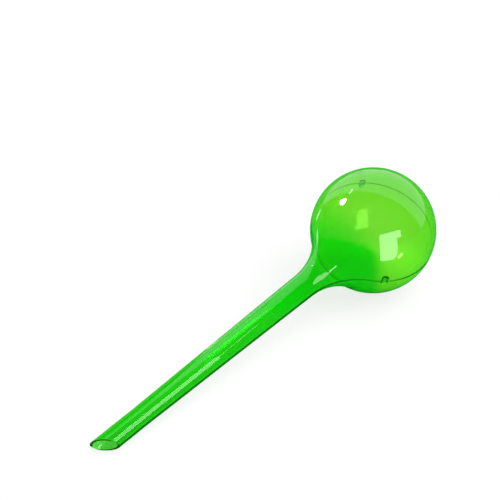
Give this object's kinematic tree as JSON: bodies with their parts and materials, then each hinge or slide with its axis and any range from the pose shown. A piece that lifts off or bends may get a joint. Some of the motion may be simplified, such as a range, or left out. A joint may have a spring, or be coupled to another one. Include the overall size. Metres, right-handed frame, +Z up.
{
  "type": "watering globe",
  "caption": "Hollow see-through ball on a long tapered stem with a slanted mouth, pushed into potting soil to feed water to a plant.",
  "frame": {"origin": "on the table the globe lies on, under the middle of its box", "axes": "+Z up from the table; X along the globe's length, with the bulb at +X and the stem's mouth at -X; the globe leans on its bulb and on the low edge of its mouth"},
  "size_m": [0.261, 0.075, 0.075],
  "materials": {
    "green_shell": "clear green glossy plastic"
  },
  "bodies": {
    "root": {"upper_shell": "green_shell", "lower_shell": "green_shell"}
  },
  "joints": []
}
